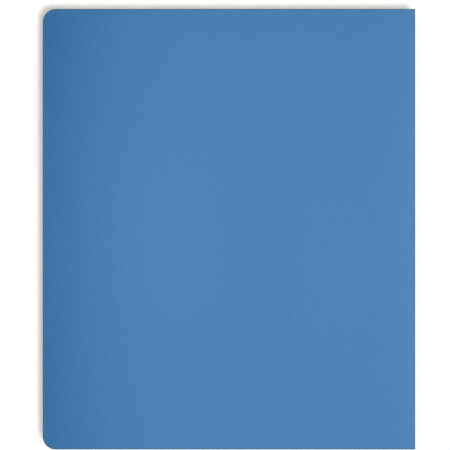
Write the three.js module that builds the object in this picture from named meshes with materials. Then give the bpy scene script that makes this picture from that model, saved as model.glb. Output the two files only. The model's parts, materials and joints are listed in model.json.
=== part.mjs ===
// Alphabetic desk file: two pressboard covers, twenty tabbed dividers and a pleated spine that joins them.
// It is closed and lies on its front cover, with the back cover on top.
// Millimetres. +Z is up, +X points to the spine and +Y to the head of the file.
// The origin is on the desk, under the middle of the back cover.
import * as THREE from "three";

// Covers
const COVER_WIDTH = 257; // fore-edge to spine
const COVER_HEIGHT = 304; // head to tail
const BOARD = 0.9; // thickness of the pressboard
const COVER_CORNER = 9; // radius of the two fore-edge corners
const COVER_LIP = 1.2; // how far the front cover reaches past the body of a divider

// Dividers
const STOCK = 0.35; // thickness of the card
const HEAD_MARGIN = 1.5; // how far a divider lies inside the covers at head and tail
const FORE_MARGIN = 1; // how far the tip of a tab lies inside the back cover
const DIVIDER_CORNER = 5; // radius of the two fore-edge corners
const PEEP_DIAMETER = 25.4; // hole that shows whether a pocket holds papers
const PEEP_INSET = 62; // from the fore-edge of a divider's body to the middle of the hole

// Index tabs
const TAB_DEPTH = 12.5; // from the divider's body to the tip
const TAB_SPACE = 1.2; // between the tips of two tabs that follow each other
const TAB_FLARE = 1.4; // how much wider a tab is at its root, on each side
const TAB_CORNER = 3; // radius at the tip
const TAB_ROOT = 1.2; // radius where a tab meets the body
const TAB_MARGIN = 1; // straight edge between a rounded corner and the nearest tab

// Pleated spine
const PAPER = 0.13; // thickness of the spine paper
const GLUE = 0.05; // glue line between two glued faces
const PLAY = 0.14; // free height in an empty pocket
const FOLD_GAP = 0.24; // between the two panels of a pocket, where the fold joins them
const FOLD_DEPTH = 0.15; // from the back of a fold to the end of its flat panels
const PLEAT_DEPTH = 10; // from the spine to the edge of a divider
const TONGUE = 9; // glued overlap of a pleat and a divider

const ARC_STEP = 15; // most degrees between two points of a round stretch

// The letters on the tabs, from head to tail
const INDEX = [
  "a", "b", "c", "d", "e", "f", "g", "h", "i_j", "k",
  "l", "m", "n", "o", "p_q", "r", "s", "t", "u_v", "w_z",
];

const PRESSBOARD_BLUE = 0x4e83b3;
const SPINE_BLUE = 0x3a6fa3;
const MANILA = 0xe9d9a9;

// Places across the file, from the spine on the right to the fore-edge on the left
const spineX = COVER_WIDTH / 2;
const foldX = spineX - FOLD_DEPTH;
const dividerSpineX = spineX - PLEAT_DEPTH;
const tongueX = dividerSpineX - TONGUE;
const tabTipX = FORE_MARGIN - COVER_WIDTH / 2;
const bodyForeX = tabTipX + TAB_DEPTH;
const frontForeX = bodyForeX - COVER_LIP;

// Places along the file
const dividerHeight = COVER_HEIGHT - 2 * HEAD_MARGIN;
const tabEnd = DIVIDER_CORNER + TAB_MARGIN + TAB_ROOT + TAB_FLARE;
const tabPitch = (dividerHeight - 2 * tabEnd) / INDEX.length;

// Heights of one pocket, counted from the fold line below its divider
const tongueBottom = PLAY / 2;
const tongueTop = tongueBottom + 2 * PAPER;
const dividerBottom = tongueTop + GLUE;
const pitch = dividerBottom + STOCK + PLAY / 2;

// Heights of the stack
const tailHeight = GLUE + PAPER + FOLD_GAP / 2; // from a cover's inner face to the nearest fold line
const firstFoldZ = BOARD + tailHeight;
const lastFoldZ = firstFoldZ + INDEX.length * pitch;

const pressboard = new THREE.MeshStandardMaterial({
  color: PRESSBOARD_BLUE,
  roughness: 0.55,
  metalness: 0,
});
const spinePaper = new THREE.MeshStandardMaterial({
  color: SPINE_BLUE,
  roughness: 0.7,
  metalness: 0,
});
const card = new THREE.MeshStandardMaterial({
  color: MANILA,
  roughness: 0.85,
  metalness: 0,
});

// Points along an arc that starts at a point and turns about a centre by an angle in radians.
function arc(start, centre, turn) {
  const steps = Math.ceil(THREE.MathUtils.radToDeg(Math.abs(turn)) / ARC_STEP);
  return Array.from({ length: steps + 1 }, (_, i) =>
    start.clone().rotateAround(centre, (turn * i) / steps),
  );
}

// An outline from its corners [x, y, radius]: each corner becomes an arc that both of its edges touch.
// A radius of 0 keeps a corner sharp.
function roundedOutline(corners) {
  const at = (i) => new THREE.Vector2(...corners[(i + corners.length) % corners.length]);
  return corners.flatMap(([x, y, radius], i) => {
    const corner = new THREE.Vector2(x, y);
    if (radius === 0) {
      return [corner];
    }
    const back = at(i - 1).sub(corner).normalize();
    const ahead = at(i + 1).sub(corner).normalize();
    const half = Math.acos(back.dot(ahead)) / 2;
    const inward = back.clone().add(ahead).normalize();
    const start = corner.clone().addScaledVector(back, radius / Math.tan(half));
    const centre = corner.clone().addScaledVector(inward, radius / Math.sin(half));
    const turn = (Math.PI - 2 * half) * Math.sign(ahead.cross(back));
    return arc(start, centre, turn);
  });
}

// A flat sheet cut to an outline in X and Y, with its lower face at height 0.
function sheet(outline, thickness, holes = []) {
  const shape = new THREE.Shape(outline);
  shape.holes = holes.map((hole) => new THREE.Path(hole));
  return new THREE.ExtrudeGeometry(shape, { depth: thickness, bevelEnabled: false });
}

// A strip of spine paper as long as a divider, folded to a section whose points are [x, z].
function foldedStrip(section) {
  const shape = new THREE.Shape(section.map(([x, z]) => new THREE.Vector2(x, z)));
  const geometry = new THREE.ExtrudeGeometry(shape, { depth: dividerHeight, bevelEnabled: false });
  return geometry.rotateX(Math.PI / 2).translate(0, dividerHeight / 2, 0);
}

// A cover that reaches from the spine to foreX, with rounded corners at the fore-edge.
function coverBoard(foreX) {
  const head = COVER_HEIGHT / 2;
  const outline = roundedOutline([
    [foreX, -head, COVER_CORNER],
    [spineX, -head, 0],
    [spineX, head, 0],
    [foreX, head, COVER_CORNER],
  ]);
  return sheet(outline, BOARD);
}

// The end of the spine paper, which lies flat along the inside of a cover.
function tailStrip() {
  return foldedStrip([
    [tongueX, 0],
    [foldX, 0],
    [foldX, PAPER],
    [tongueX, PAPER],
  ]);
}

// The round hole that every divider has at the same place, half way down its height.
function peepHole() {
  const centre = new THREE.Vector2(bodyForeX + PEEP_INSET, 0);
  const start = new THREE.Vector2(centre.x + PEEP_DIAMETER / 2, centre.y);
  return arc(start, centre, 2 * Math.PI).slice(1);
}

// A divider: its card has a tab on the fore-edge, a step further from the head than the one before it.
function dividerCard(step) {
  const head = dividerHeight / 2;
  const tabY = head - tabEnd - (step + 0.5) * tabPitch;
  const tipHalf = (tabPitch - TAB_SPACE) / 2;
  const rootHalf = tipHalf + TAB_FLARE;
  const outline = roundedOutline([
    [bodyForeX, -head, DIVIDER_CORNER],
    [dividerSpineX, -head, 0],
    [dividerSpineX, head, 0],
    [bodyForeX, head, DIVIDER_CORNER],
    [bodyForeX, tabY + rootHalf, TAB_ROOT],
    [tabTipX, tabY + tipHalf, TAB_CORNER],
    [tabTipX, tabY - tipHalf, TAB_CORNER],
    [bodyForeX, tabY - rootHalf, TAB_ROOT],
  ]);
  return sheet(outline, STOCK, [peepHole()]);
}

// A pleat: two layers of spine paper lie together as a tongue under the divider,
// then part and run out to the fold lines below and above.
function pleatStrip() {
  const low = FOLD_GAP / 2;
  const high = pitch - FOLD_GAP / 2;
  return foldedStrip([
    [tongueX, tongueBottom],
    [dividerSpineX, tongueBottom],
    [foldX, low],
    [foldX, low + PAPER],
    [dividerSpineX + PAPER, tongueBottom + PAPER],
    [foldX, high - PAPER],
    [foldX, high],
    [dividerSpineX, tongueTop],
    [tongueX, tongueTop],
  ]);
}

function piece(name, geometry, material, z) {
  const mesh = new THREE.Mesh(geometry, material.clone());
  mesh.name = name;
  mesh.position.z = z;
  return mesh;
}

function frontCover() {
  const group = new THREE.Group();
  group.add(piece("front_cover", coverBoard(frontForeX), pressboard, 0));
  group.add(piece("front_spine_strip", tailStrip(), spinePaper, BOARD + GLUE));
  return group;
}

function backCover() {
  const group = new THREE.Group();
  group.position.z = lastFoldZ;
  group.add(piece("back_spine_strip", tailStrip(), spinePaper, FOLD_GAP / 2));
  group.add(piece("back_cover", coverBoard(-spineX), pressboard, tailHeight));
  return group;
}

// A divider with the pleat that carries it, placed by the fold line below.
function leaf(letters, step) {
  const group = new THREE.Group();
  group.position.z = firstFoldZ + step * pitch;
  group.add(piece("pleat_" + letters, pleatStrip(), spinePaper, 0));
  group.add(piece("divider_" + letters, dividerCard(step), card, dividerBottom));
  return group;
}

const deskFile = new THREE.Group();
deskFile.add(frontCover());
INDEX.forEach((letters, step) => deskFile.add(leaf(letters, step)));
deskFile.add(backCover());

export default deskFile;
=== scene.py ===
"""The looks of an alphabetic desk file.

The file lies closed on its front cover. It has two covers of coated blue pressboard, twenty manila
dividers with index tabs down the fore-edge, and a spine of pleated blue paper. Lengths are in metres, in
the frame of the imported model: +Z is up, +X points to the spine and +Y to the head.
"""

from __future__ import annotations

import json
import logging
import math
from abc import ABC, abstractmethod
from dataclasses import dataclass
from enum import Enum
from typing import Any, Mapping, Sequence, Union

import bmesh
import bpy
import numpy as np
from mathutils import Matrix, Vector

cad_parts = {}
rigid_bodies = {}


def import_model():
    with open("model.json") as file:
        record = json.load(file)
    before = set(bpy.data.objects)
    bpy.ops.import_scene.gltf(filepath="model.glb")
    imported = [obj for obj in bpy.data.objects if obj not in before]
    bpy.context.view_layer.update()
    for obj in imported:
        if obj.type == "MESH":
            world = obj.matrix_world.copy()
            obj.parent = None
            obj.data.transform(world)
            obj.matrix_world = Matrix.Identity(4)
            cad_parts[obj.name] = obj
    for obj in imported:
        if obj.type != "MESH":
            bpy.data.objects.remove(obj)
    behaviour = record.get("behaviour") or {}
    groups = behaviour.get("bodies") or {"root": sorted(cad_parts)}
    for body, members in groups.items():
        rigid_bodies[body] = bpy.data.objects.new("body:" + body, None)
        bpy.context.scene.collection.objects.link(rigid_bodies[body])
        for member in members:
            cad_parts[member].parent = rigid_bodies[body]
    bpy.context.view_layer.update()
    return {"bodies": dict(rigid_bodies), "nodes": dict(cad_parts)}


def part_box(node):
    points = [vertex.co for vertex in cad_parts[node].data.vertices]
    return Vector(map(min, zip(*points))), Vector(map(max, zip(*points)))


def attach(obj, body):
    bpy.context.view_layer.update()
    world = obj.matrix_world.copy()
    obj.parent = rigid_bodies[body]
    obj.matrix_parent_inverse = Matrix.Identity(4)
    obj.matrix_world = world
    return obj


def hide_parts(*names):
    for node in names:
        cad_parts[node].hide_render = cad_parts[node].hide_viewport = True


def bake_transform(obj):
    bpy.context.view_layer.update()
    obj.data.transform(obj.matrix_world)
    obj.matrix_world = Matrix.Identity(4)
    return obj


log = logging.getLogger("desk_file")

MM = 0.001
FONT_CAPITAL = 0.682  # height of a capital in Blender's own font at size 1
FONT_MERGE = 0.0001  # points of the font's outlines that lie closer than this are one
FONT_BEND = 0.01  # radians: faces that bend less than this are filled as one
SAME_ROW = 8  # decimals: rows of points that agree to so many are one
ON_EDGE = 0.05 * MM  # points that lie closer than this to a solid's outermost edge are on it
Number = Union[float, "Signal"]


class Side(Enum):
    """The two covers, by the side of the file that they close."""

    FRONT = "front"
    BACK = "back"

    @property
    def inward(self) -> int:
        """Give the way along Z from this cover to the dividers."""
        return 1 if self is Side.FRONT else -1


def linear(colour: str) -> tuple[float, ...]:
    """Turn a screen colour into the linear values that shaders take.

    Args:
        colour: Red, green and blue as six hexadecimal digits after a "#".

    Returns:
        Linear red, green and blue, and an alpha of 1.
    """
    parts = np.array([int(colour[i : i + 2], 16) for i in (1, 3, 5)]) / 255
    values = np.where(parts <= 0.04045, parts / 12.92, ((parts + 0.055) / 1.055) ** 2.4)
    return (*(float(value) for value in values), 1.0)


@dataclass(frozen=True)
class Mottle:
    """A cloudy pattern, and what it does to a finish.

    Attributes:
        size: The width of one cloud.
        detail: How many finer layers lie on it.
        stretch: How many times as long a cloud is along each axis.
        tone: How much it changes the tone, from the darkest cloud to the palest.
        roughness: How much it changes the roughness.
        relief: How high it stands.
    """

    size: float
    detail: float = 2.0
    stretch: tuple[float, float, float] = (1.0, 1.0, 1.0)
    tone: float = 0.0
    roughness: float = 0.0
    relief: float = 0.0


class Signal:
    """A shader socket that takes part in sums: each operator adds one Math node."""

    def __init__(self, graph: Graph, socket: bpy.types.NodeSocket) -> None:
        """Wrap an output socket of a graph's node."""
        self.graph = graph
        self.socket = socket

    def _math(self, operation: str, first: Number, second: Number) -> Signal:
        """Add a Math node for an operation on two numbers or signals."""
        return self.graph.node("ShaderNodeMath", {"operation": operation}, {0: first, 1: second})

    def __add__(self, other: Number) -> Signal:
        """Give self + other."""
        return self._math("ADD", self, other)

    def __radd__(self, other: Number) -> Signal:
        """Give other + self."""
        return self._math("ADD", other, self)

    def __sub__(self, other: Number) -> Signal:
        """Give self - other."""
        return self._math("SUBTRACT", self, other)

    def __rsub__(self, other: Number) -> Signal:
        """Give other - self."""
        return self._math("SUBTRACT", other, self)

    def __mul__(self, other: Number) -> Signal:
        """Give self * other."""
        return self._math("MULTIPLY", self, other)

    def __rmul__(self, other: Number) -> Signal:
        """Give other * self."""
        return self._math("MULTIPLY", other, self)


class Graph:
    """The nodes of one material or world."""

    def __init__(self, tree: bpy.types.NodeTree) -> None:
        """Start from an empty tree."""
        self.tree = tree
        tree.nodes.clear()

    def node(
        self,
        kind: str,
        settings: Mapping[str, Any] | None = None,
        values: Mapping[Any, Any] | None = None,
        output: int | str = 0,
    ) -> Signal | None:
        """Add a node of any type.

        Args:
            kind: The node's type, such as "ShaderNodeTexNoise".
            settings: The node's own settings, which are set first.
            values: What each input socket gets, by its name or number: a value, or a signal to link.
            output: The output socket that the caller uses.

        Returns:
            That output as a signal, or None for a node without outputs.
        """
        made = self.tree.nodes.new(kind)
        for name, value in (settings or {}).items():
            setattr(made, name, value)
        for name, value in (values or {}).items():
            if isinstance(value, Signal):
                self.tree.links.new(value.socket, made.inputs[name])
            else:
                made.inputs[name].default_value = value
        return Signal(self, made.outputs[output]) if made.outputs else None

    def point(self) -> Signal:
        """Give the place on the piece, in metres."""
        return self.node("ShaderNodeTexCoord", output="Object")

    def axis(self, point: Signal, name: str) -> Signal:
        """Give one coordinate, X, Y or Z, of a place."""
        return self.node("ShaderNodeSeparateXYZ", values={0: point}, output=name)

    def noise(self, point: Signal, mottle: Mottle) -> Signal:
        """Read a cloudy pattern.

        Args:
            point: The place where it is read.
            mottle: The pattern.

        Returns:
            A value that runs from about -0.5 to 0.5.
        """
        scale = tuple(1 / (mottle.size * part) for part in mottle.stretch)
        placed = self.node("ShaderNodeMapping", values={"Vector": point, "Scale": scale})
        values = {"Vector": placed, "Scale": 1.0, "Detail": mottle.detail}
        return self.node("ShaderNodeTexNoise", values=values) - 0.5

    def step(self, value: Signal, low: float, high: float) -> Signal:
        """Rise smoothly from 0 to 1.

        Args:
            value: The value that rises.
            low: Where the result is 0.
            high: Where it is 1.

        Returns:
            The smooth step.
        """
        return self.node(
            "ShaderNodeMapRange",
            {"interpolation_type": "SMOOTHSTEP"},
            {"Value": value, "From Min": low, "From Max": high},
        )

    def ramp(self, value: Signal, low: float, high: float) -> Signal:
        """Rise from 0 to 1 as a parabola that starts level.

        Args:
            value: The value that rises.
            low: Where the result is 0.
            high: Where it is 1.

        Returns:
            The square of the value's share of the way from low to high.
        """
        share = self.node("ShaderNodeMapRange", values={"Value": value, "From Min": low, "From Max": high})
        return share * share

    def stored(self, name: str) -> Signal:
        """Read a number that is kept on the piece's points."""
        return self.node("ShaderNodeAttribute", {"attribute_name": name}, output="Fac")

    def tint(self, colour: Any, tone: Number) -> Signal:
        """Scale a colour's brightness by a number."""
        return self.node("ShaderNodeVectorMath", {"operation": "SCALE"}, {0: colour[:3], "Scale": tone})

    def drift(self, colour: Signal, shares: Sequence[float], amount: Signal) -> Signal:
        """Change a colour by shares of its red, green and blue.

        Args:
            colour: The colour.
            shares: How much of each it gains where the amount is 1.
            amount: How much of the change there is.

        Returns:
            colour + colour * shares * amount, for red, green and blue alike.
        """
        change = self.node("ShaderNodeVectorMath", {"operation": "SCALE"}, {0: shares, "Scale": amount})
        return self.node(
            "ShaderNodeVectorMath", {"operation": "MULTIPLY_ADD"}, {0: colour, 1: change, 2: colour}
        )

    def mix(self, factor: Number, first: Any, second: Any) -> Signal:
        """Go from the first colour to the second as the factor rises from 0 to 1."""
        return self.node("ShaderNodeMix", {"data_type": "RGBA"}, {0: factor, 6: first, 7: second}, output=2)

    def bump(self, height: Signal) -> Signal:
        """Turn a relief, whose height is in metres, into a normal."""
        return self.node("ShaderNodeBump", values={"Height": height, "Distance": 1.0})

    def surface(self, values: Mapping[str, Any]) -> None:
        """Finish a material with the main shader and what its sockets get."""
        shader = self.node("ShaderNodeBsdfPrincipled", values=values)
        self.node("ShaderNodeOutputMaterial", values={"Surface": shader})

    def seen_directly(self) -> Signal:
        """Tell the rays that show a surface from those that only light others.

        Returns:
            1 for rays from the camera and for reflected and refracted ones, and 0 for all others.
        """
        kinds = [
            self.node("ShaderNodeLightPath", output=name)
            for name in ("Is Camera Ray", "Is Glossy Ray", "Is Transmission Ray")
        ]
        either = self.node("ShaderNodeMath", {"operation": "MAXIMUM"}, {0: kinds[0], 1: kinds[1]})
        return self.node("ShaderNodeMath", {"operation": "MAXIMUM"}, {0: either, 1: kinds[2]})


@dataclass(frozen=True)
class Finish(ABC):
    """A surface finish, which is one material.

    Attributes:
        name: The material's name.
    """

    name: str

    @abstractmethod
    def paint(self, graph: Graph) -> None:
        """Fill the material's empty graph."""

    def dress(self, piece: bpy.types.Object) -> None:
        """Put this finish on a piece in place of any other.

        Args:
            piece: The piece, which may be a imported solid.
        """
        material = bpy.data.materials.get(self.name)
        if material is None:
            material = bpy.data.materials.new(self.name)
            material.use_nodes = True
            self.paint(Graph(material.node_tree))
        piece.data.materials.clear()
        piece.data.materials.append(material)


@dataclass(frozen=True)
class PaintedEdgeLight:
    """Painted shade or a painted highlight: a change of tone towards one edge of a cover.

    Attributes:
        axis: The axis that leads to the edge, "X" or "Y".
        way: 1 where the edge is at the axis's high end, and -1 where it is at the low end.
        start: Where the change starts, counted from the origin towards the edge.
        gain: How much the tone has changed at the edge: below zero for painted shade, above zero for a
            painted highlight.
    """

    axis: str
    way: int
    start: float
    gain: float


@dataclass(frozen=True)
class PaintedLightPatch:
    """A soft oval on a cover with a painted highlight or painted shade in its tone.

    Attributes:
        middle: Its middle.
        half: Its half width and half height.
        gain: How much the tone has changed in its middle: above zero for a painted highlight, below zero
            for painted shade.
    """

    middle: tuple[float, float]
    half: tuple[float, float]
    gain: float


@dataclass(frozen=True)
class Pressboard(Finish):
    """Coated blue pressboard: dyed board with a satin coat, a fine fibre grain and a greyer cut edge.

    The tone carries painted light and shade. It falls with the square of the way towards the fore-edge, the
    head and the tail, most towards the fore-edge, rises towards the spine, and has a painted highlight and
    painted shade in two ovals.

    Attributes:
        name: The material's name.
        deep: The colour where the tone is 0.
        full: The colour where the tone is 1.
        cut: The colour of the fibres at the cut edge.
        cut_cover: How much of the coat is gone at the cut edge.
        cut_roughness: How much rougher the cut edge is.
        roughness: The coat's roughness.
        shine: The coat's specular level.
        middle: The tone in the middle.
        painted_edge_light: The painted shade towards the fore-edge, the head and the tail, and the painted
            highlight towards the spine.
        painted_light_patches: A painted highlight in a wide oval left of the middle, and painted shade in a
            narrow oval right of it.
        fibre: The fibres of the board.
        speck: The specks of dye.
        blotch: Faint blotches where the coat is thicker.
        cloud: Wide clouds in the coat.
        dye: The spots in which the dye's hue drifts.
        hue: The shares of red, green and blue that it gains and loses there.
    """

    name: str = "blue_pressboard"
    deep: str = "#266597"
    full: str = "#4e87b9"
    cut: str = "#4a6a88"
    cut_cover: float = 0.9
    cut_roughness: float = 0.2
    roughness: float = 0.7
    shine: float = 0.25
    middle: float = 0.75
    # painted shade towards the fore-edge, the head and the tail, and a painted highlight towards the spine
    painted_edge_light: tuple[PaintedEdgeLight, ...] = (
        PaintedEdgeLight("X", -1, 0.018, -0.592),
        PaintedEdgeLight("X", 1, 0.090, 0.106),
        PaintedEdgeLight("Y", 1, -0.033, -0.177),
        PaintedEdgeLight("Y", -1, 0.0, -0.089),
    )
    # a painted highlight left of the middle, and painted shade in a narrow oval right of it
    painted_light_patches: tuple[PaintedLightPatch, ...] = (
        PaintedLightPatch((-0.055, 0.002), (0.059, 0.108), 0.10),
        PaintedLightPatch((0.024, -0.019), (0.037, 0.172), -0.078),
    )
    fibre: Mottle = Mottle(1.3 * MM, 3.0, (1, 1.6, 1), tone=0.54, roughness=0.16, relief=0.0245 * MM)
    speck: Mottle = Mottle(0.35 * MM, 1.0, tone=0.2, relief=0.0175 * MM)
    blotch: Mottle = Mottle(6 * MM, tone=0.09)
    cloud: Mottle = Mottle(34 * MM, tone=0.04)
    dye: Mottle = Mottle(3 * MM)
    hue: tuple[float, float, float] = (0.1, 0.0, -0.04)

    def paint(self, graph: Graph) -> None:
        """Colour the board by its tone, with painted light and shade, and its dye, and grey the cut edge's
        fibres.

        Args:
            graph: The material's empty graph.
        """
        point = graph.point()
        fibre = graph.noise(point, self.fibre)
        speck = graph.noise(point, self.speck)
        # the tone starts from the painted light and shade, and the fibres and specks are added to it
        tone = self._painted_light_tone(graph, point) + self.fibre.tone * fibre + self.speck.tone * speck
        for mottle in (self.blotch, self.cloud):
            tone = tone + mottle.tone * graph.noise(point, mottle)
        coat = graph.mix(tone, linear(self.deep), linear(self.full))
        coat = graph.drift(coat, self.hue, graph.noise(point, self.dye))
        rim = graph.stored("rim")
        graph.surface(
            {
                "Base Color": graph.mix(self.cut_cover * rim, coat, linear(self.cut)),
                "Roughness": self.roughness + self.fibre.roughness * fibre + self.cut_roughness * rim,
                "Specular IOR Level": self.shine,
                "Normal": graph.bump(self.fibre.relief * fibre + self.speck.relief * speck),
            }
        )

    def _painted_light_tone(self, graph: Graph, point: Signal) -> Signal:
        """Add up the painted light and shade in the coat's tone, towards the edges and in the ovals.

        A ramp gives its gain times the square of the way from its start to the edge. A patch gives its gain
        times a smooth step that falls from 1 in its middle to 0 on its oval.

        Args:
            graph: The material's graph.
            point: The place on the board.

        Returns:
            The tone, from about 0 at the deep colour to 1 at the full colour.
        """
        edges = dict(zip("XYZ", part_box("back_cover")[1]))
        tone = self.middle
        for ramp in self.painted_edge_light:
            ahead = ramp.way * graph.axis(point, ramp.axis)
            tone = tone + ramp.gain * graph.ramp(ahead, ramp.start, edges[ramp.axis])
        for patch in self.painted_light_patches:
            away = graph.node(
                "ShaderNodeMapping",
                {"vector_type": "TEXTURE"},
                {"Vector": point, "Location": (*patch.middle, 0), "Scale": (*patch.half, 1)},
            )
            length = graph.node("ShaderNodeVectorMath", {"operation": "LENGTH"}, {0: away}, output="Value")
            tone = tone + patch.gain * graph.step(1 - length, 0, 1)
        return tone


@dataclass(frozen=True)
class SpinePaper(Finish):
    """Strong blue paper: matt, with a fine crepe and folds that are rubbed paler.

    Attributes:
        name: The material's name.
        colour: The paper's colour.
        rubbed: The colour that shows where a fold is rubbed.
        rub: How much of that colour shows on the ridge of a fold.
        rub_crepe: How much more of it shows on the crepe's high spots.
        roughness: The paper's roughness.
        crepe: The creases of the crepe.
        cloud: Clouds in the dye.
    """

    name: str = "blue_spine_paper"
    colour: str = "#33689c"
    rubbed: str = "#6b9cc6"
    rub: float = 0.45
    rub_crepe: float = 1.2
    roughness: float = 0.72
    crepe: Mottle = Mottle(0.5 * MM, 2.0, (1, 3, 1), tone=0.22, roughness=0.15, relief=0.03 * MM)
    cloud: Mottle = Mottle(12 * MM, tone=0.12)

    def paint(self, graph: Graph) -> None:
        """Colour the paper by its crepe, and lighten it where the ridge mask says that it is rubbed.

        Args:
            graph: The material's empty graph.
        """
        point = graph.point()
        crepe = graph.noise(point, self.crepe)
        cloud = graph.noise(point, self.cloud)
        rub = graph.stored("ridge") * (self.rub + self.rub_crepe * crepe)
        plain = graph.tint(linear(self.colour), 1 + self.crepe.tone * crepe + self.cloud.tone * cloud)
        graph.surface(
            {
                "Base Color": graph.mix(rub, plain, linear(self.rubbed)),
                "Roughness": self.roughness + self.crepe.roughness * crepe,
                "Normal": graph.bump(self.crepe.relief * crepe),
            }
        )


@dataclass(frozen=True)
class IndexCard(Finish):
    """Manila card: warm buff with faint fibres and a few darker flecks.

    Attributes:
        name: The material's name.
        colour: The card's colour.
        dark: The colour of a fleck.
        roughness: The card's roughness.
        fibre: The fibres.
        cloud: Clouds in the pulp.
        sheet: The change from one sheet to the next, which is the same all over a sheet.
        fleck: The flecks.
        fleck_low: The height in their pattern where flecks start to show.
        fleck_high: The height where they show in full.
        fleck_cover: How much of the card a fleck hides.
    """

    name: str = "manila_card"
    colour: str = "#e6d5a6"
    dark: str = "#b3935a"
    roughness: float = 0.78
    fibre: Mottle = Mottle(0.7 * MM, 3.0, (1, 2.2, 1), tone=0.09, roughness=0.15, relief=0.02 * MM)
    cloud: Mottle = Mottle(22 * MM, tone=0.06)
    sheet: Mottle = Mottle(1.3 * MM, 0.0, (600, 600, 1), tone=0.16)
    fleck: Mottle = Mottle(0.55 * MM, 1.0, (1, 2.4, 1))
    fleck_low: float = 0.16
    fleck_high: float = 0.27
    fleck_cover: float = 0.3

    def paint(self, graph: Graph) -> None:
        """Colour the card by its fibres, its clouds and its own tone, with sparse flecks.

        Args:
            graph: The material's empty graph.
        """
        point = graph.point()
        fibre = graph.noise(point, self.fibre)
        tone = 1 + self.fibre.tone * fibre
        for mottle in (self.cloud, self.sheet):
            tone = tone + mottle.tone * graph.noise(point, mottle)
        fleck = graph.step(graph.noise(point, self.fleck), self.fleck_low, self.fleck_high)
        plain = graph.tint(linear(self.colour), tone)
        graph.surface(
            {
                "Base Color": graph.mix(self.fleck_cover * fleck, plain, linear(self.dark)),
                "Roughness": self.roughness + self.fibre.roughness * fibre,
                "Normal": graph.bump(self.fibre.relief * fibre),
            }
        )


@dataclass(frozen=True)
class TabFilm(Finish):
    """Clear glossy film, hardly tinted, that shows mostly by its shine.

    Attributes:
        name: The material's name.
        colour: The film's faint tint.
        cover: How much the film hides of what is behind it.
        haze: How much more it hides where it is scuffed.
        roughness: The film's roughness.
        shine: How much of a second, sharper gloss lies on it.
        shine_roughness: The roughness of that gloss.
        scuff: The scuffs.
    """

    name: str = "clear_tab_film"
    colour: str = "#f4f6f2"
    cover: float = 0.07
    haze: float = 0.05
    roughness: float = 0.16
    shine: float = 0.5
    shine_roughness: float = 0.05
    scuff: Mottle = Mottle(1.5 * MM, 3.0, (1, 4, 1), roughness=0.2)

    def paint(self, graph: Graph) -> None:
        """Make the film nearly clear, with a light haze of fine scuffs.

        Args:
            graph: The material's empty graph.
        """
        scuff = graph.noise(graph.point(), self.scuff)
        graph.surface(
            {
                "Base Color": linear(self.colour),
                "Roughness": self.roughness + self.scuff.roughness * scuff,
                "Alpha": self.cover + self.haze * scuff,
                "Coat Weight": self.shine,
                "Coat Roughness": self.shine_roughness,
            }
        )


@dataclass(frozen=True)
class IndexInk(Finish):
    """Dark blue printing ink, a little uneven.

    Attributes:
        name: The material's name.
        colour: The ink's colour.
        roughness: The ink's roughness.
        spot: The spots in the print.
    """

    name: str = "index_ink"
    colour: str = "#1b2f55"
    roughness: float = 0.55
    spot: Mottle = Mottle(0.25 * MM, tone=0.5, roughness=0.2)

    def paint(self, graph: Graph) -> None:
        """Colour the ink by its spots.

        Args:
            graph: The material's empty graph.
        """
        spot = graph.noise(graph.point(), self.spot)
        graph.surface(
            {
                "Base Color": graph.tint(linear(self.colour), 1 + self.spot.tone * spot),
                "Roughness": self.roughness + self.spot.roughness * spot,
            }
        )


@dataclass(frozen=True)
class StudioFloor(Finish):
    """A white sweep that shows as plain white where little shadow falls.

    Attributes:
        name: The material's name.
        colour: The floor's colour, a little warm.
        lift: The white that is added to what the camera sees.
    """

    name: str = "white_floor"
    colour: str = "#e1e1de"
    lift: float = 0.322

    def paint(self, graph: Graph) -> None:
        """Add a little white to what the camera sees, so that only the deep shadow stays grey.

        Args:
            graph: The material's empty graph.
        """
        base = graph.node("ShaderNodeBsdfDiffuse", values={"Color": linear(self.colour)})
        glow = graph.node("ShaderNodeEmission", values={"Strength": self.lift * graph.seen_directly()})
        both = graph.node("ShaderNodeAddShader", values={0: base, 1: glow})
        graph.node("ShaderNodeOutputMaterial", values={"Surface": both})


def linked(name: str, data: bpy.types.ID) -> bpy.types.Object:
    """Add an object to the scene.

    Args:
        name: The object's name.
        data: Its mesh, text, camera or light.

    Returns:
        The object, at the origin.
    """
    made = bpy.data.objects.new(name, data)
    bpy.context.scene.collection.objects.link(made)
    return made


def closed_sheet(name: str, upper: np.ndarray, lower: np.ndarray) -> bpy.types.Object:
    """Join two grids of points into one closed skin.

    The upper grid faces the way of its columns crossed with its rows. The lower grid faces the other way,
    and a strip of quads closes the rim between them.

    Args:
        name: The new object's name.
        upper: Points of the upper face, as rows by columns by 3.
        lower: Points of the lower face, in the same order.

    Returns:
        The new object, with smooth faces.
    """
    index = np.arange(upper.shape[0] * upper.shape[1]).reshape(upper.shape[:2])
    top = np.stack([index[:-1, :-1], index[:-1, 1:], index[1:, 1:], index[1:, :-1]], -1).reshape(-1, 4)
    bottom = top[:, ::-1] + index.size
    loop = np.concatenate([index[0, :-1], index[:-1, -1], index[-1, :0:-1], index[:0:-1, 0]])
    ahead = np.roll(loop, -1)
    wall = np.stack([loop + index.size, ahead + index.size, ahead, loop], -1)
    points = np.concatenate([upper.reshape(-1, 3), lower.reshape(-1, 3)])
    mesh = bpy.data.meshes.new(name)
    mesh.from_pydata(points.tolist(), [], np.concatenate([top, bottom, wall]).tolist())
    mesh.polygons.foreach_set("use_smooth", np.ones(len(mesh.polygons), bool))
    return linked(name, mesh)


def layered(x: np.ndarray, y: np.ndarray, z: np.ndarray) -> np.ndarray:
    """Stack three grids, or rows and columns that spread to one, into points of rows by columns by 3."""
    return np.stack(np.broadcast_arrays(x, y, z), -1)


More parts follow.
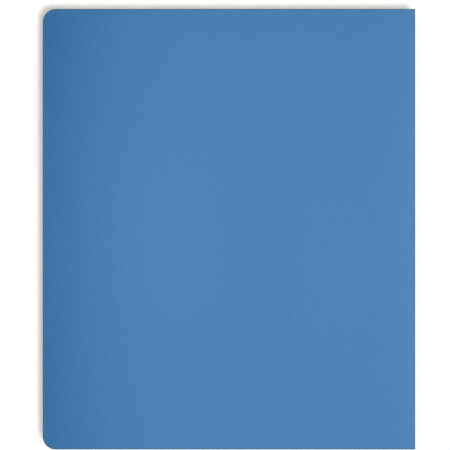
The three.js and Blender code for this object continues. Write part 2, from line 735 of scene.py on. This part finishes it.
def store(piece: bpy.types.Object, name: str, values: np.ndarray) -> None:
    """Keep a number on each point of both faces of a closed sheet, for its material to read.

    Args:
        piece: The sheet.
        name: The attribute's name.
        values: One number for each point of a face, as rows by columns.
    """
    attribute = piece.data.attributes.new(name, "FLOAT", "POINT")
    attribute.data.foreach_set("value", np.tile(values.ravel(), 2).astype(np.float32))


def eased(value: np.ndarray, low: float, high: float) -> np.ndarray:
    """Rise smoothly from 0 at low to 1 at high."""
    share = np.clip((value - low) / (high - low), 0, 1)
    return share * share * (3 - 2 * share)


class SubAssembly(ABC):
    """A part of the scene that is made as a whole."""

    @abstractmethod
    def build(self) -> list[bpy.types.Object]:
        """Make or dress its pieces, and give them back."""


@dataclass(frozen=True)
class Ripple:
    """A long shallow wave in a board.

    Attributes:
        across: Its radians for each metre along X.
        along: Its radians for each metre along Y.
        start: Its radians at the origin.
        share: Its share of the board's bend.
    """

    across: float
    along: float
    start: float
    share: float

    def height(self, x: np.ndarray, y: np.ndarray) -> np.ndarray:
        """Give share * (1 + sin(across * x + along * y + start)) / 2, which is never below zero."""
        return self.share * (1 + np.sin(self.across * x + self.along * y + self.start)) / 2


@dataclass(frozen=True)
class Cover(SubAssembly):
    """One pressboard cover.

    The board is a grid of rows from tail to head and columns from fore-edge to spine. Each row starts at
    the outline, so the two fore-edge corners are round, and both faces fall away towards the rim along a
    small arc.

    Attributes:
        side: Which of the two covers it is.
        finish: The board's finish.
        corner: The radius of the two fore-edge corners.
        edge: The radius that wear has given the rim.
        mesh_step: The width of a quad in the middle of the board.
        corner_steps: How many rows a round corner takes.
        edge_steps: How many rows and columns the worn rim takes.
        margin: How far inside the outline the columns of even quads start.
        rim_width: How far the greyer colour of the cut edge reaches in.
        bend: The most that the board bends towards the dividers.
        flat_from: The x past which the board is flat, for the spine strip.
        ripples: The waves of the bend.
    """

    side: Side
    finish: Finish
    corner: float = 9 * MM
    edge: float = 0.4 * MM
    mesh_step: float = 5 * MM
    corner_steps: int = 16
    edge_steps: int = 4
    margin: float = 1.2 * MM
    rim_width: float = 0.6 * MM
    bend: float = 0.2 * MM
    flat_from: float = 100 * MM
    ripples: tuple[Ripple, ...] = (Ripple(31, 12, -0.77, 0.6), Ripple(-9, 17, 0, 0.4))

    def build(self) -> list[bpy.types.Object]:
        """Make the cover in place of its solid and dress it.

        Returns:
            The board.
        """
        node = self.side.value + "_cover"
        low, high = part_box(node)
        x, y = self._grid(low, high)
        inside = self._inside(x, y, low, high)
        short = self.edge - np.minimum(inside, self.edge)
        fall = self.edge - np.sqrt(self.edge**2 - short**2)
        wave = self.side.inward * self._wave(x, y)
        piece = closed_sheet(
            self.side.value + "_board",
            layered(x, y, high.z - fall + wave),
            layered(x, y, low.z + fall + wave),
        )
        store(piece, "rim", np.exp(-((inside / self.rim_width) ** 2)))
        self.finish.dress(piece)
        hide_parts(node)
        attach(piece, self.side.value)
        return [piece]

    def _grid(self, low: Vector, high: Vector) -> tuple[np.ndarray, np.ndarray]:
        """Spread rows and columns over the board, close together by the rim.

        A row that passes the centre of the round corner by an amount over starts at corner -
        sqrt(corner^2 - over^2) from the fore-edge.

        Args:
            low: The lowest corner of the board's box.
            high: The highest corner.

        Returns:
            The x and the y of every point, as rows by columns.
        """
        half, width = high.y, high.x - low.x
        arc = self.corner * np.sin(np.linspace(0, math.pi / 2, self.corner_steps + 1))
        bevel = self.edge * (1 - np.cos(np.linspace(0, math.pi / 2, self.edge_steps + 1)))
        straight = np.linspace(0, half - self.corner, round(half / self.mesh_step))
        up = np.concatenate([straight, half - self.corner + arc, half - bevel])
        up = np.unique(up.round(SAME_ROW))
        y = np.concatenate([-up[:0:-1], up])[:, None]
        over = np.clip(np.abs(y) - (half - self.corner), 0, self.corner)
        start = low.x + self.corner - np.sqrt(self.corner**2 - over**2)
        middle = np.linspace(self.margin, width - self.margin, round(width / self.mesh_step))
        share = np.concatenate([bevel, middle, width - bevel[::-1]]) / width
        x = start + (high.x - start) * share[None, :]
        return x, np.broadcast_to(y, x.shape)

    def _inside(self, x: np.ndarray, y: np.ndarray, low: Vector, high: Vector) -> np.ndarray:
        """Measure how far each point lies inside the outline.

        Args:
            x: Each point's x.
            y: Each point's y.
            low: The lowest corner of the board's box.
            high: The highest corner.

        Returns:
            The distance to the nearest edge, or to the arc where a corner is round.
        """
        fore, end = x - low.x, high.y - np.abs(y)
        plain = np.minimum(np.minimum(fore, high.x - x), end)
        arc = self.corner - np.hypot(self.corner - fore, self.corner - end)
        return np.maximum(np.where((fore < self.corner) & (end < self.corner), arc, plain), 0)

    def _wave(self, x: np.ndarray, y: np.ndarray) -> np.ndarray:
        """Work out how far the board bends towards the dividers.

        The bend is the sum of the ripples, and it dies out before the glued spine strip.

        Args:
            x: Each point's x.
            y: Each point's y.

        Returns:
            The bend in metres.
        """
        free = eased(self.flat_from - x, 0, self.flat_from)
        return self.bend * free * sum(ripple.height(x, y) for ripple in self.ripples)


@dataclass(frozen=True)
class PleatedSpine(SubAssembly):
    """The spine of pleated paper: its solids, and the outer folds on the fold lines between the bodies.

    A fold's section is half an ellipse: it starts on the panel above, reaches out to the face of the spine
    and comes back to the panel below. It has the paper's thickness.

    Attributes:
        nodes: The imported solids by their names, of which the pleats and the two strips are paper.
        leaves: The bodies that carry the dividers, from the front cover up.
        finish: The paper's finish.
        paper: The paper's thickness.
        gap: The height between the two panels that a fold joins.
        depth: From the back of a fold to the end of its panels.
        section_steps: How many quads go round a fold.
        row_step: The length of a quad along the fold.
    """

    nodes: Mapping[str, bpy.types.Object]
    leaves: Sequence[str]
    finish: Finish
    paper: float = 0.13 * MM
    gap: float = 0.24 * MM
    depth: float = 0.15 * MM
    section_steps: int = 10
    row_step: float = 4 * MM

    def build(self) -> list[bpy.types.Object]:
        """Dress the paper's solids and make every fold.

        Returns:
            The solids and the folds.
        """
        paper = [name for name in self.nodes if name.startswith("pleat_") or name.endswith("_strip")]
        solids = [self.nodes[name] for name in paper]
        for solid in solids:
            self.finish.dress(solid)
        bodies = ["front", *self.leaves, "back"]
        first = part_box("front_spine_strip")[1].z + self.gap / 2
        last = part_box("back_spine_strip")[0].z - self.gap / 2
        levels = np.linspace(first, last, len(bodies) - 1)
        places = zip(bodies, bodies[1:], levels.tolist())
        return solids + [self._fold(*place) for place in places]

    def _fold(self, below: str, above: str, level: float) -> bpy.types.Object:
        """Make one fold.

        Args:
            below: The body that carries the panel below the fold line. It is not used.
            above: The body that carries the panel above it.
            level: The height of the fold line.

        Returns:
            The fold.
        """
        low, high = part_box("front_spine_strip")
        angle = np.linspace(math.pi / 2, -math.pi / 2, self.section_steps + 1)[None, :]
        y = np.linspace(low.y, high.y, round((high.y - low.y) / self.row_step))[:, None]
        rise = self.gap / 2 + self.paper
        outer, inner = (
            layered(
                high.x + (self.depth - deeper) * np.cos(angle),
                y,
                level + (rise - deeper) * np.sin(angle),
            )
            for deeper in (0.0, self.paper)
        )
        piece = closed_sheet("fold_" + above, outer, inner)
        store(piece, "ridge", np.broadcast_to(np.cos(angle) ** 2, outer.shape[:2]))
        self.finish.dress(piece)
        middle = (self.gap + self.paper) / 2
        level - middle
        level + middle
        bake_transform(piece)
        return piece


@dataclass(frozen=True)
class IndexTab:
    """The printed and filmed tab of one divider.

    Attributes:
        letters: What is printed on the tab.
        leaf: The body that carries the divider.
        tip: The tab's outermost x.
        middle: The y of the tab's middle line.
        low: The z of the card's lower face.
        high: The z of the card's upper face.
        depth: From the tip to the divider's body.
        tip_half: Half the width at the tip, where its corners are left sharp.
        flare: How much wider the tab is at its root, on each side.
        corner: The radius of the two corners at the tip.
        film: The film's thickness.
        air: The gap between the film and the card.
        overlap: How far the film runs past the root, onto the body.
        inset: How far the film ends inside the tab's flanks.
        first_step: The first of the film's columns, from the tip. The others follow in even ratios.
        steps: How many columns the film has on each face, round the tip and rows across.
        capital: The height of a capital.
        widest: The most that the letters may take across the tab's depth.
        ink: The ink's thickness.
        weight: How much bolder than the font the letters are, as a share of its size.
    """

    letters: str
    leaf: str
    tip: float
    middle: float
    low: float
    high: float
    depth: float = 12.5 * MM
    tip_half: float = 6.49 * MM
    flare: float = 1.4 * MM
    corner: float = 3 * MM
    film: float = 0.05 * MM
    air: float = 0.03 * MM
    overlap: float = 2.5 * MM
    inset: float = 0.12 * MM
    first_step: float = 0.2 * MM
    steps: tuple[int, int, int] = (22, 9, 13)
    capital: float = 5.2 * MM
    widest: float = 9.6 * MM
    ink: float = 0.012 * MM
    weight: float = 0.02

    @classmethod
    def of(cls, node: bpy.types.Object) -> IndexTab:
        """Find the tab on a divider's solid: its tip is the solid's outermost edge.

        Args:
            node: The divider, whose name ends with the tab's letters.

        Returns:
            The tab that belongs on it.
        """
        key = node.name.removeprefix("divider_")
        points = np.empty(len(node.data.vertices) * 3)
        node.data.vertices.foreach_get("co", points)
        points = points.reshape(-1, 3)
        low, high = points.min(0), points.max(0)
        edge = points[points[:, 0] < low[0] + ON_EDGE, 1]
        middle = float(edge.min() + edge.max()) / 2
        letters = key.upper().replace("_", "-")
        return cls(letters, "leaf_" + key, float(low[0]), middle, float(low[2]), float(high[2]))

    def _half(self, x: np.ndarray) -> np.ndarray:
        """Give half of the film's width at places across the file.

        The tab's flanks flare evenly from tip to root, an arc rounds the corners of the tip, and the film
        ends a little inside.

        Args:
            x: The places.

        Returns:
            Half the width at each.
        """
        reach = np.clip(x - self.tip, 0, self.depth)
        turn = self.corner - np.minimum(reach, self.corner)
        rounded = self.corner - np.sqrt(self.corner**2 - turn**2)
        return self.tip_half + self.flare * reach / self.depth - rounded - self.inset

    def wrap(self, finish: Finish) -> bpy.types.Object:
        """Fold a clear film round the tab.

        The film's section runs in below the card, round the tip in half a circle and out above the card.
        Its width at each x is the tab's.

        Args:
            finish: The film's finish.

        Returns:
            The film.
        """
        card = (self.high - self.low) / 2 + self.air
        flat, turn, across = self.steps
        reach = np.geomspace(self.first_step, self.depth + self.overlap, flat)
        angle = np.linspace(-math.pi / 2, math.pi / 2, turn)
        rows = np.linspace(-1, 1, across)[:, None]
        skins = []
        for radius in (card + self.film, card):
            x = np.concatenate([reach[::-1], -radius * np.cos(angle), reach]) + self.tip
            z = radius * np.concatenate([-np.ones(len(reach)), np.sin(angle), np.ones(len(reach))])
            y = self.middle + rows * self._half(x)
            skins.append(layered(x, y, z + (self.low + self.high) / 2))
        piece = closed_sheet("tab_film_" + self.leaf.removeprefix("leaf_"), *skins)
        finish.dress(piece)
        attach(piece, self.leaf)
        return piece

    def print_on(self, finish: Finish) -> bpy.types.Object:
        """Print the letters on both faces of the tab, upright with the head of the file up.

        Args:
            finish: The ink's finish.

        Returns:
            The letters of both faces, as one piece.
        """
        centre = self.tip + self.depth / 2
        above = Matrix.Translation((centre, self.middle, self.high))
        below = Matrix.Translation((centre, self.middle, self.low)) @ Matrix.Rotation(math.pi, 4, "Y")
        both = bmesh.new()
        for place in (above, below):
            side = self._type()
            side.transform(place)
            both.from_mesh(side)
            bpy.data.meshes.remove(side)
        mesh = bpy.data.meshes.new("letters")
        both.to_mesh(mesh)
        both.free()
        piece = linked("letters_" + self.leaf.removeprefix("leaf_"), mesh)
        finish.dress(piece)
        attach(piece, self.leaf)
        return piece

    def _type(self) -> bpy.types.Mesh:
        """Set the letters on the origin's plane, and narrow them where they are too wide for the tab.

        The font's flat outlines are filled anew, so that no point or face is there twice, and then raised.

        Returns:
            A closed mesh as thick as the ink, with its lower face at height 0.
        """
        curve = bpy.data.curves.new("type", "FONT")
        curve.body = self.letters
        curve.offset = self.weight
        writing = linked("type", curve)
        graph = bpy.context.evaluated_depsgraph_get()
        mesh = bpy.data.meshes.new_from_object(writing.evaluated_get(graph))
        bpy.data.objects.remove(writing)
        bpy.data.curves.remove(curve)
        raised = bmesh.new()
        raised.from_mesh(mesh)
        bmesh.ops.remove_doubles(raised, verts=raised.verts, dist=FONT_MERGE)
        bmesh.ops.dissolve_limit(raised, angle_limit=FONT_BEND, verts=raised.verts, edges=raised.edges)
        bmesh.ops.triangulate(raised, faces=raised.faces)
        bmesh.ops.beautify_fill(raised, faces=raised.faces, edges=raised.edges)
        upper = bmesh.ops.extrude_face_region(raised, geom=raised.faces[:])["geom"]
        upper = [part for part in upper if isinstance(part, bmesh.types.BMVert)]
        bmesh.ops.translate(raised, verts=upper, vec=(0, 0, 1))
        bmesh.ops.recalc_face_normals(raised, faces=raised.faces)
        raised.to_mesh(mesh)
        raised.free()
        points = np.empty(len(mesh.vertices) * 3)
        mesh.vertices.foreach_get("co", points)
        points = points.reshape(-1, 3)
        middle = (points[:, 0].min() + points[:, 0].max()) / 2
        size = self.capital / FONT_CAPITAL
        narrow = min(1.0, self.widest / (float(np.ptp(points[:, 0])) * size))
        moved = points - (middle, FONT_CAPITAL / 2, 0)
        mesh.vertices.foreach_set("co", (moved * (size * narrow, size, self.ink)).ravel())
        return mesh


@dataclass(frozen=True)
class IndexDividers(SubAssembly):
    """The manila dividers with their tabs.

    Attributes:
        nodes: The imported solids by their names.
        card: The finish of the dividers.
        film: The finish of the wraps over the tabs.
        ink: The finish of the letters.
    """

    nodes: Mapping[str, bpy.types.Object]
    card: Finish
    film: Finish
    ink: Finish

    def build(self) -> list[bpy.types.Object]:
        """Dress each divider, and wrap and print its tab.

        Returns:
            The dividers, the films and the letters.
        """
        pieces = []
        for name, node in self.nodes.items():
            if name.startswith("divider_"):
                self.card.dress(node)
                tab = IndexTab.of(node)
                pieces += [node, tab.wrap(self.film), tab.print_on(self.ink)]
        return pieces


@dataclass(frozen=True)
class Studio(SubAssembly):
    """The camera above the file, a white floor and soft light from the lower right of the picture.

    The picture is framed by where the back cover lies in the photograph.

    Attributes:
        white: The floor's finish.
        picture: The width and height of the picture in pixels.
        cover_pixels: The width of the back cover in the picture.
        cover_middle: The middle of the back cover in the picture, from its top left corner.
        lens: The camera's focal length in millimetres.
        sensor: The camera's sensor in millimetres.
        key_lean: How far the way to the key light leans along X and Y for each metre up.
        key_spread: The angle that the key light fills, in degrees.
        key_share: The key light's share of the light on a level surface. The world gives the rest.
        floor_size: The floor's width.
        floor_depth: How far the floor lies under the file.
    """

    white: Finish
    picture: int = 450
    cover_pixels: float = 372.5
    cover_middle: tuple[float, float] = (228.95, 229.25)
    lens: float = 250.0
    sensor: float = 36.0
    key_lean: tuple[float, float] = (0.212, -0.215)
    key_spread: float = 13.8
    key_share: float = 0.6
    floor_size: float = 6.0
    floor_depth: float = 0.05 * MM

    def build(self) -> list[bpy.types.Object]:
        """Make the camera, the floor, the key light and the world.

        Returns:
            The first three.
        """
        self._world()
        return [self._camera(), self._floor(), self._key()]

    def _camera(self) -> bpy.types.Object:
        """Hang the camera straight above the file, where the cover fills its share of the picture.

        Returns:
            The camera.
        """
        low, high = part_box("back_cover")
        pixel = (high.x - low.x) / self.cover_pixels
        data = bpy.data.cameras.new("camera")
        data.lens = self.lens
        data.sensor_width = self.sensor
        camera = linked("camera", data)
        right, down = (place - self.picture / 2 for place in self.cover_middle)
        distance = self.picture * pixel * self.lens / self.sensor
        camera.location = ((low.x + high.x) / 2 - right * pixel, down * pixel, high.z + distance)
        bpy.context.scene.camera = camera
        return camera

    def _floor(self) -> bpy.types.Object:
        """Lay a white floor a hair under the file.

        Returns:
            The floor.
        """
        half = self.floor_size / 2
        corners = np.array([(-half, -half, 0), (half, -half, 0), (half, half, 0), (-half, half, 0)])
        mesh = bpy.data.meshes.new("floor")
        mesh.from_pydata((corners - (0, 0, self.floor_depth)).tolist(), [], [(0, 1, 2, 3)])
        floor = linked("floor", mesh)
        self.white.dress(floor)
        return floor

    def _key(self) -> bpy.types.Object:
        """Light the file from the lower right, from a source wide enough for a soft shadow.

        Returns:
            The light.
        """
        data = bpy.data.lights.new("key", "SUN")
        lean = Vector((*self.key_lean, 1))
        data.energy = math.pi * self.key_share * lean.length
        data.angle = math.radians(self.key_spread)
        key = linked("key", data)
        key.rotation_mode = "QUATERNION"
        key.rotation_quaternion = lean.to_track_quat("Z", "Y")
        return key

    def _world(self) -> None:
        """Fill the shadows evenly, and show plain white to the camera and in reflections."""
        world = bpy.data.worlds.new("world")
        bpy.context.scene.world = world
        world.use_nodes = True
        graph = Graph(world.node_tree)
        fill = 1 - self.key_share
        strength = fill + (1 - fill) * graph.seen_directly()
        light = graph.node("ShaderNodeBackground", values={"Color": (1, 1, 1, 1), "Strength": strength})
        graph.node("ShaderNodeOutputWorld", values={"Surface": light})


def main() -> None:
    """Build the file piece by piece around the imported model."""
    logging.basicConfig(level=logging.INFO, format="%(message)s")
    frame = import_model()
    bpy.context.scene.view_settings.view_transform = "Standard"

    nodes = frame["nodes"]
    leaves = [name for name in frame["bodies"] if name.startswith("leaf_")]
    sub_assemblies = (
        Studio(StudioFloor()),
        *(Cover(side, Pressboard()) for side in Side),
        PleatedSpine(nodes, leaves, SpinePaper()),
        IndexDividers(nodes, IndexCard(), TabFilm(), IndexInk()),
    )
    for sub_assembly in sub_assemblies:
        for piece in sub_assembly.build():
            log.info("%s: %s", type(sub_assembly).__name__, piece.name)


if __name__ == "__main__":
    main()
